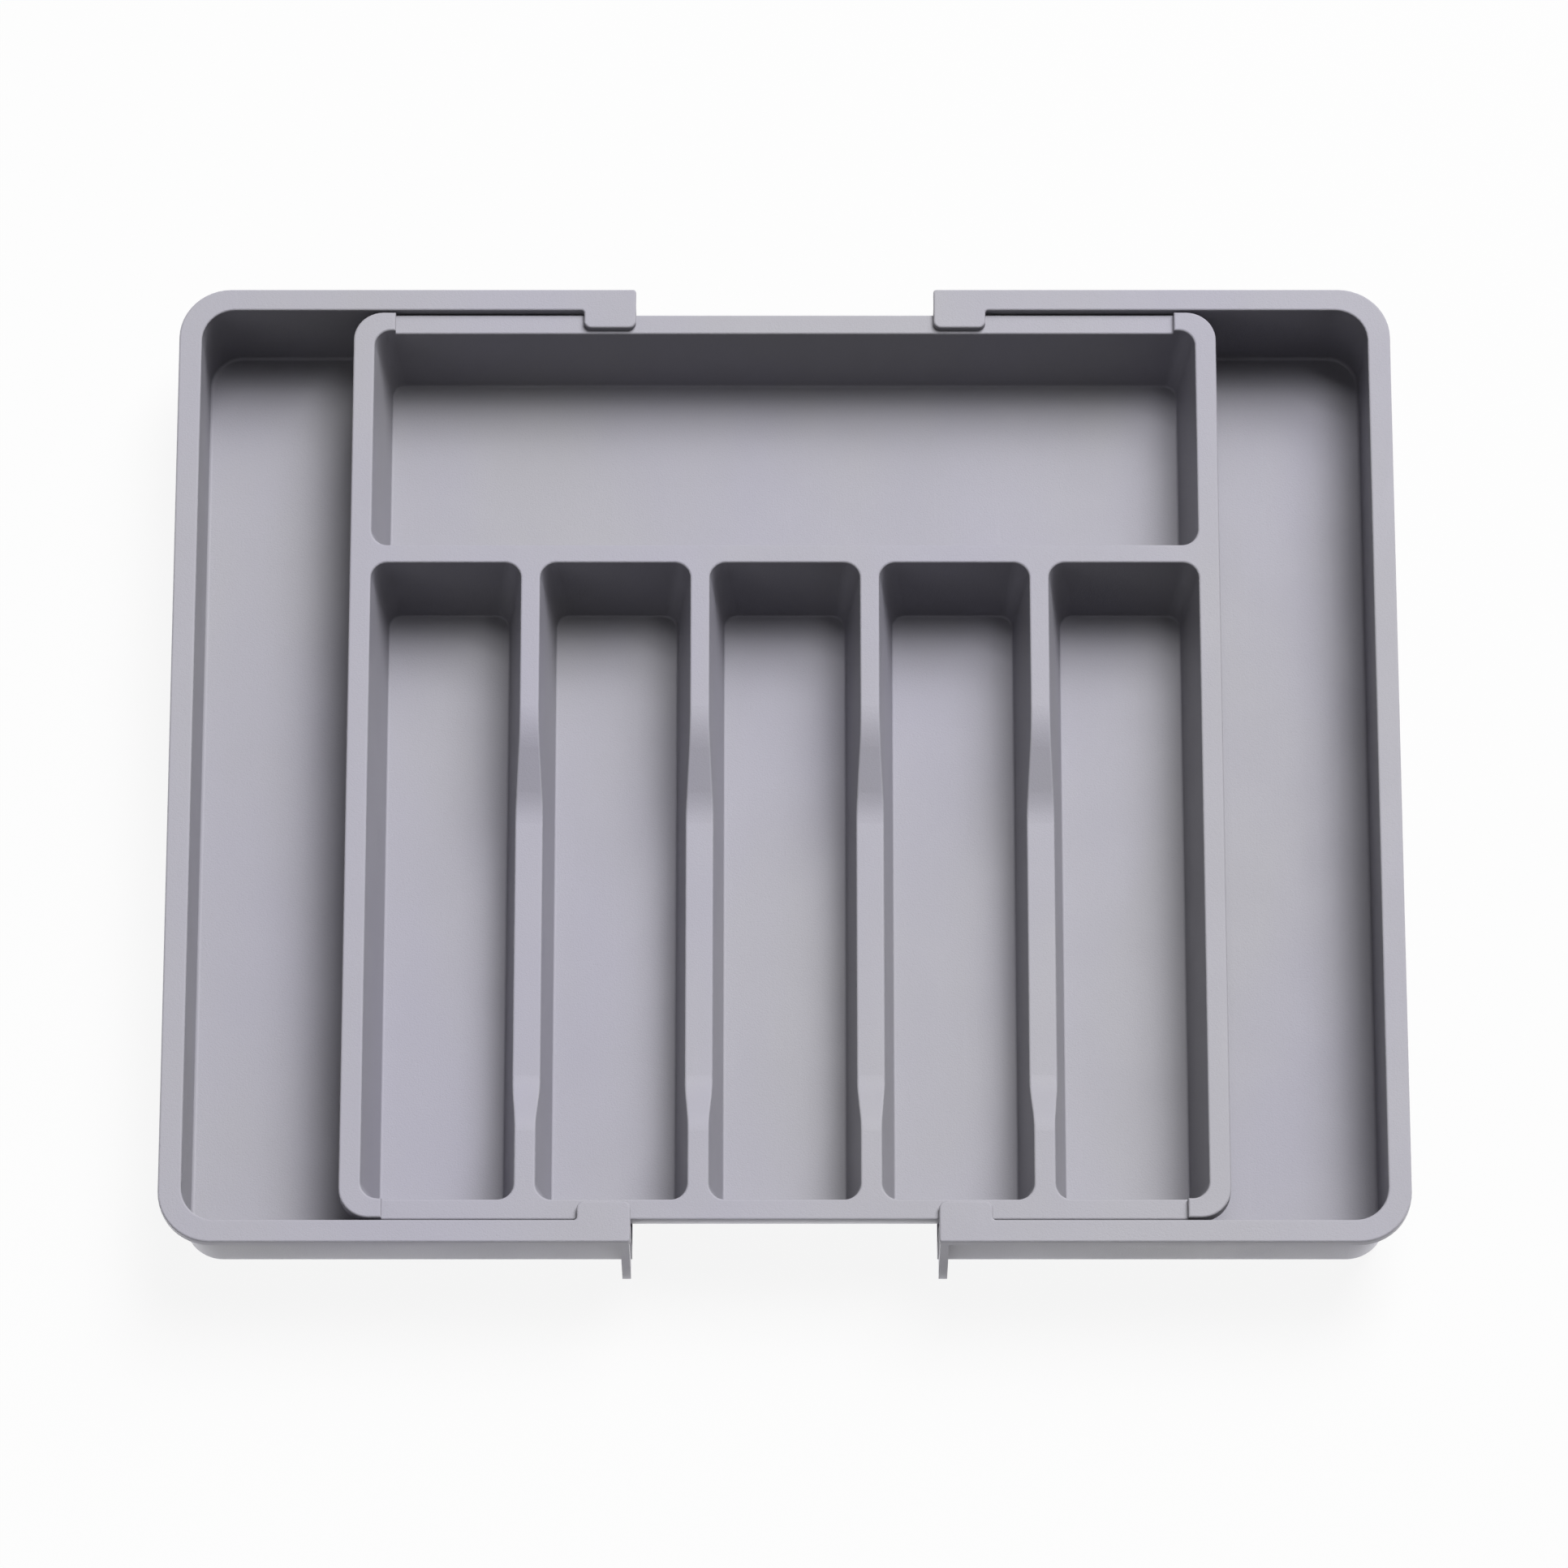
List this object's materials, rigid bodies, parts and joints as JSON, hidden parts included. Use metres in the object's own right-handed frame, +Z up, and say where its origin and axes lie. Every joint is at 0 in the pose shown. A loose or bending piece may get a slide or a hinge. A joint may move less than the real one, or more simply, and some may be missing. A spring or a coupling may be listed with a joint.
{
  "type": "expandable cutlery tray",
  "caption": "Drawer tray for cutlery: a centre tray of long slots and a cross compartment slides between two side trays that pull out left and right.",
  "frame": {"origin": "on the resting surface, under the middle of the tray as stored, half pulled out", "axes": "+X to the right along the slides, +Y to the back where the cross compartment is, +Z up"},
  "size_m": [0.4928, 0.406, 0.052],
  "materials": {
    "tray_plastic": "satin moulded polypropylene, pale lavender grey, fine even grain",
    "foot_rubber": "soft matt non-slip rubber, dark grey"
  },
  "bodies": {
    "centre": {"centre_tray": "tray_plastic"},
    "left_side": {"left_tray": "tray_plastic", "left_back_outer_foot": "foot_rubber", "left_back_inner_foot": "foot_rubber", "left_front_outer_foot": "foot_rubber", "left_front_inner_foot": "foot_rubber"},
    "right_side": {"right_tray": "tray_plastic", "right_back_outer_foot": "foot_rubber", "right_back_inner_foot": "foot_rubber", "right_front_outer_foot": "foot_rubber", "right_front_inner_foot": "foot_rubber"}
  },
  "joints": [
    {"name": "left_slide", "type": "slide", "parent": "centre", "child": "left_side", "axis": [-1, 0, 0], "range_m": [-0.0603, 0.0762]},
    {"name": "right_slide", "type": "slide", "parent": "centre", "child": "right_side", "axis": [1, 0, 0], "range_m": [-0.0603, 0.0762]}
  ]
}
